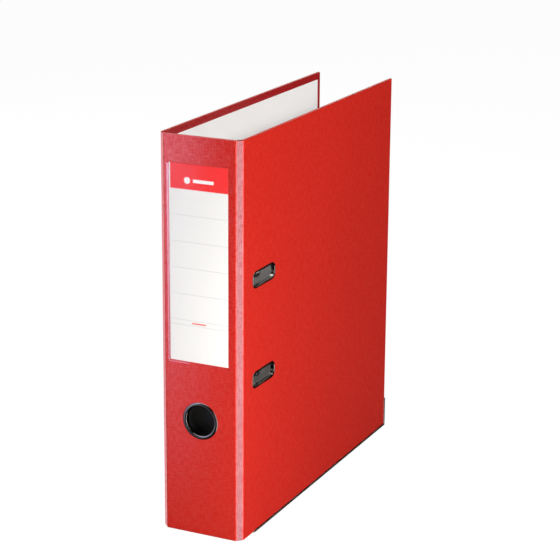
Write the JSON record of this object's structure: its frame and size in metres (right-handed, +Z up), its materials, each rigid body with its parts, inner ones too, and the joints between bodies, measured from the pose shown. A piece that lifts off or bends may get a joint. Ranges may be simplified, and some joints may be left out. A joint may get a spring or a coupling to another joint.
{
  "type": "lever arch file",
  "caption": "Upright lever arch file with hinged covers, a spine label pocket, finger ring, cover slots, steel shoes and a lever-opened arch mechanism with a sliding compressor.",
  "frame": {"origin": "middle of the footprint, on the surface that the closed file stands on", "axes": "+Z up the spine, +Y from the spine to the fore edge, +X from the back cover to the front cover"},
  "size_m": [0.0714, 0.2893, 0.318],
  "materials": {
    "red_film": "satin, fine linen grain",
    "greyboard": "matt",
    "lining_paper": "matt",
    "shoe_steel": "satin",
    "nickel": "bright",
    "zinc_steel": "satin",
    "spring_steel": "satin",
    "black_plastic": "satin",
    "roller_plastic": "satin",
    "clear_film": "clear gloss",
    "card": "matt, printed"
  },
  "bodies": {
    "back_cover": {"back_board": "greyboard", "back_skin": "red_film", "back_lining": "lining_paper", "back_shoe": "shoe_steel", "base_plate": "zinc_steel", "plate_rivets": "nickel", "upper_post": "nickel", "lower_post": "nickel", "arch_spring": "spring_steel", "spring_rivet": "nickel", "lever_pin": "nickel"},
    "back_fold": {"back_strip_board": "greyboard", "back_strip_skin": "red_film", "back_strip_lining": "lining_paper"},
    "spine": {"spine_board": "greyboard", "spine_skin": "red_film", "spine_lining": "lining_paper", "finger_ring": "nickel", "finger_cup": "black_plastic", "label_pocket": "clear_film"},
    "label": {"label_card": "card"},
    "front_fold": {"front_strip_board": "greyboard", "front_strip_skin": "red_film", "front_strip_lining": "lining_paper"},
    "front_cover": {"front_board": "greyboard", "front_skin": "red_film", "front_lining": "lining_paper", "front_shoe": "shoe_steel", "slot_eyelets": "nickel"},
    "arches": {"arch_wire": "nickel"},
    "lever": {"lever": "nickel", "roller_pin": "nickel"},
    "roller": {"roller": "roller_plastic"},
    "compressor": {"compressor_bar": "zinc_steel", "compressor_rivets": "nickel"},
    "latch": {"compressor_latch": "spring_steel"}
  },
  "joints": [
    {"name": "back_crease", "type": "hinge", "parent": "back_cover", "child": "back_fold", "pos_m": [-0.035, -0.139, 0.159], "axis": [0, 0, -1], "range_deg": [0, 45]},
    {"name": "spine_back_crease", "type": "hinge", "parent": "back_fold", "child": "spine", "pos_m": [-0.03, -0.144, 0.159], "axis": [0, 0, -1], "range_deg": [0, 45]},
    {"name": "front_crease", "type": "hinge", "parent": "spine", "child": "front_fold", "pos_m": [0.03, -0.144, 0.159], "axis": [0, 0, -1], "range_deg": [0, 45]},
    {"name": "cover_crease", "type": "hinge", "parent": "front_fold", "child": "front_cover", "pos_m": [0.035, -0.139, 0.159], "axis": [0, 0, -1], "range_deg": [0, 45]},
    {"name": "label_slide", "type": "slide", "parent": "spine", "child": "label", "axis": [0, 0, 1], "range_m": [0, 0.08]},
    {"name": "lever_pivot", "type": "hinge", "parent": "back_cover", "child": "lever", "pos_m": [-0.01845, -0.105, 0.148], "axis": [0, 1, 0], "range_deg": [0, 60]},
    {"name": "arch_swing", "type": "hinge", "parent": "back_cover", "child": "arches", "pos_m": [-0.02825, -0.117, 0.166], "axis": [0, 0, -1], "range_deg": [0, 28]},
    {"name": "roller_spin", "type": "hinge", "parent": "lever", "child": "roller", "pos_m": [-0.02195, -0.105, 0.1535], "axis": [0, 1, 0], "continuous": true},
    {"name": "compressor_slide", "type": "slide", "parent": "back_cover", "child": "compressor", "axis": [1, 0, 0], "range_m": [0, 0.032]},
    {"name": "latch_slide", "type": "slide", "parent": "compressor", "child": "latch", "axis": [0, 0, 1], "range_m": [0, 0.002]}
  ],
  "couplings": [
    {"joint": "spine_back_crease", "follows": "back_crease", "ratio": 1},
    {"joint": "cover_crease", "follows": "front_crease", "ratio": 1},
    {"joint": "arch_swing", "follows": "lever_pivot", "ratio": 0.4666}
  ]
}
